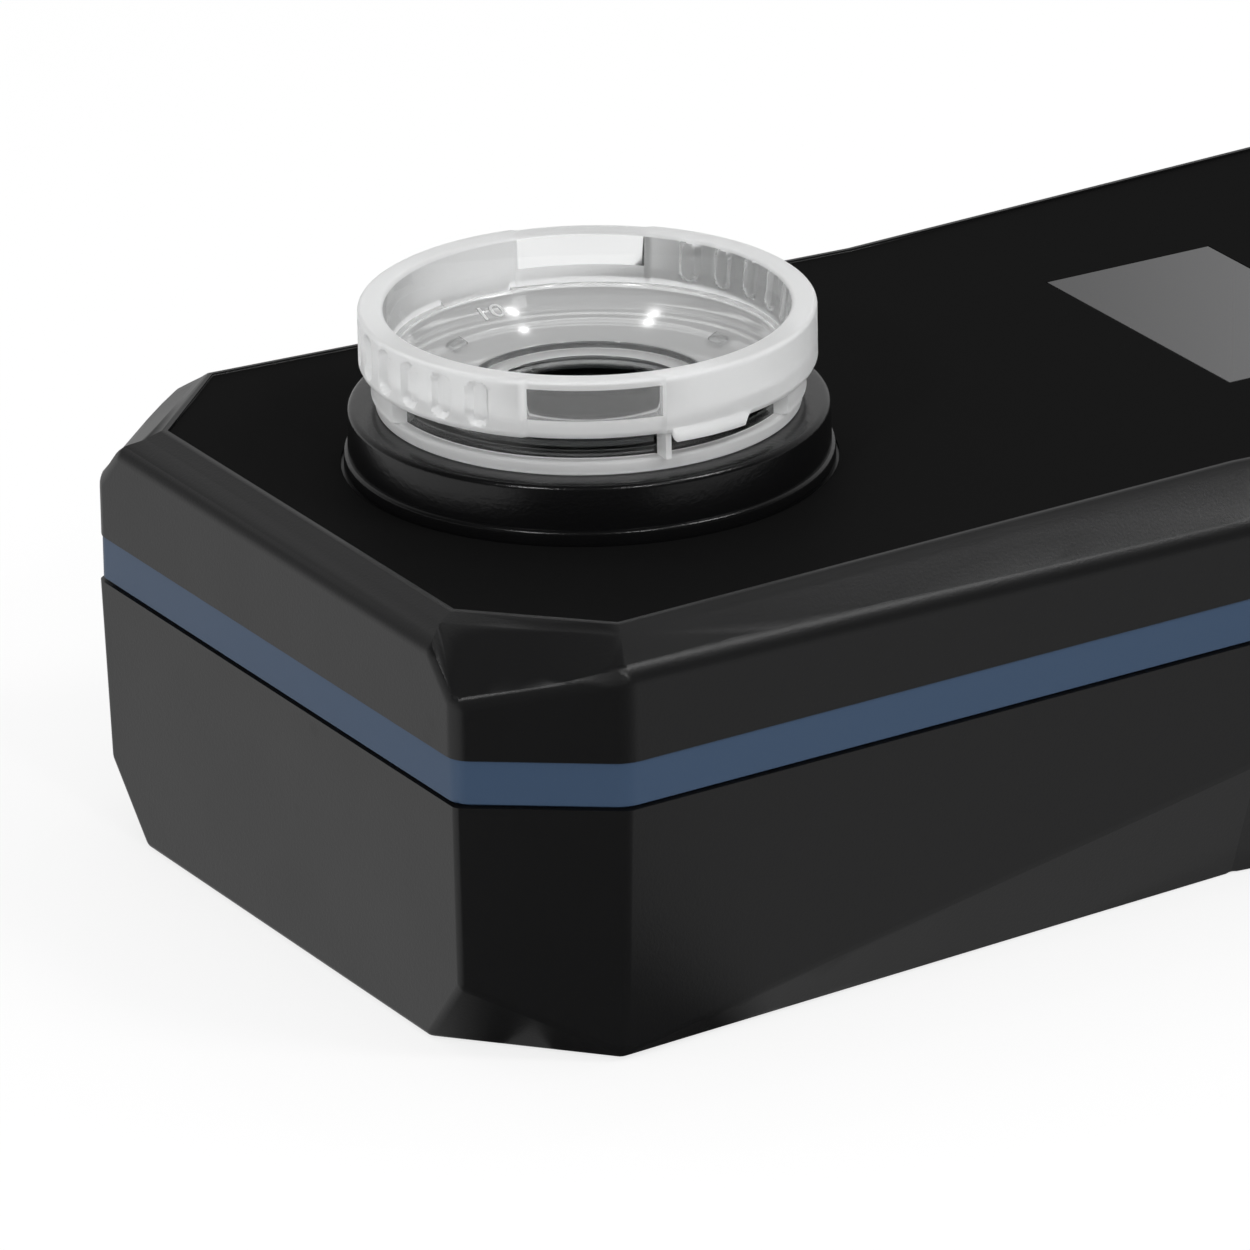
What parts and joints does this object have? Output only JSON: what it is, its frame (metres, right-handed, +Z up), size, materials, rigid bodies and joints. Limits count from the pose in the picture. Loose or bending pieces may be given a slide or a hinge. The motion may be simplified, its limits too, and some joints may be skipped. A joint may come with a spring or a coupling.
{
  "type": "handheld photometer",
  "caption": "Handheld photometer lying on its back: octagonal waisted housing with a clear round cuvette in a collar, flush display and membrane keys.",
  "frame": {"origin": "middle of the housing's back, on the table", "axes": "+Z up out of the keypad face, +Y towards the head with the cuvette, +X to the reader's right"},
  "size_m": [0.089, 0.167, 0.0587],
  "materials": {
    "black_plastic": "fine spark texture",
    "blue_band": "satin",
    "label_film": "flat film",
    "window": "flat clear window",
    "display_glass": "grey reflective display",
    "white_diffuser": "matt",
    "grey_rubber": "matt",
    "circuit_board": "solder mask",
    "chip": "moulded",
    "gloss_black": "gloss with soft highlights",
    "clear_plastic": "polished clear moulding",
    "cell_jacket": "plain sleeve",
    "spring_metal": "nickel plated",
    "screw_steel": "satin",
    "key_rubber": "soft matt",
    "seal_rubber": "matt"
  },
  "bodies": {
    "housing": {"lower_shell": "black_plastic", "trim_band": "blue_band", "upper_shell": "black_plastic", "front_label": "label_film", "display_window": "window", "lcd_panel": "display_glass", "backlight": "white_diffuser", "contact_strip": "grey_rubber", "lcd_bezel": "white_diffuser", "key_mat": "grey_rubber", "main_board": "circuit_board", "board_chips": "chip", "collar_ring": "gloss_black", "collar_gasket": "grey_rubber", "collar_nut": "black_plastic", "optics_block": "black_plastic", "led_board": "circuit_board", "leds": "clear_plastic", "detector_board": "circuit_board", "photodiodes": "chip", "aaa_cell_left": "cell_jacket", "aaa_cell_middle": "cell_jacket", "aaa_cell_right": "cell_jacket", "battery_contacts": "spring_metal", "battery_springs": "spring_metal", "battery_cover": "black_plastic", "cover_seal": "grey_rubber", "housing_screws": "screw_steel", "board_screws": "screw_steel", "optics_screws": "screw_steel", "cover_screws": "screw_steel"},
    "cuvette_ring": {"cuvette_seal": "seal_rubber"},
    "cuvette": {"cuvette": "clear_plastic"},
    "power_key": {"key_power": "key_rubber"},
    "up_key": {"key_up": "key_rubber"},
    "zero_key": {"key_zero": "key_rubber"},
    "menu_key": {"key_menu": "key_rubber"},
    "down_key": {"key_down": "key_rubber"},
    "test_key": {"key_test": "key_rubber"}
  },
  "joints": [
    {"name": "cuvette_lift", "type": "slide", "parent": "housing", "child": "cuvette_ring", "axis": [0, 0, 1], "range_m": [0, 0.034]},
    {"name": "cuvette_turn", "type": "hinge", "parent": "cuvette_ring", "child": "cuvette", "pos_m": [0, 0.04795, 0.0487], "axis": [0, 0, 1], "continuous": true},
    {"name": "power_press", "type": "slide", "parent": "housing", "child": "power_key", "axis": [0, 0, 1], "range_m": [-0.0006, 0], "stiffness_N_per_m": 1500},
    {"name": "up_press", "type": "slide", "parent": "housing", "child": "up_key", "axis": [0, 0, 1], "range_m": [-0.0006, 0], "stiffness_N_per_m": 1500},
    {"name": "zero_press", "type": "slide", "parent": "housing", "child": "zero_key", "axis": [0, 0, 1], "range_m": [-0.0006, 0], "stiffness_N_per_m": 1500},
    {"name": "menu_press", "type": "slide", "parent": "housing", "child": "menu_key", "axis": [0, 0, 1], "range_m": [-0.0006, 0], "stiffness_N_per_m": 1500},
    {"name": "down_press", "type": "slide", "parent": "housing", "child": "down_key", "axis": [0, 0, 1], "range_m": [-0.0006, 0], "stiffness_N_per_m": 1500},
    {"name": "test_press", "type": "slide", "parent": "housing", "child": "test_key", "axis": [0, 0, 1], "range_m": [-0.0006, 0], "stiffness_N_per_m": 1500}
  ]
}
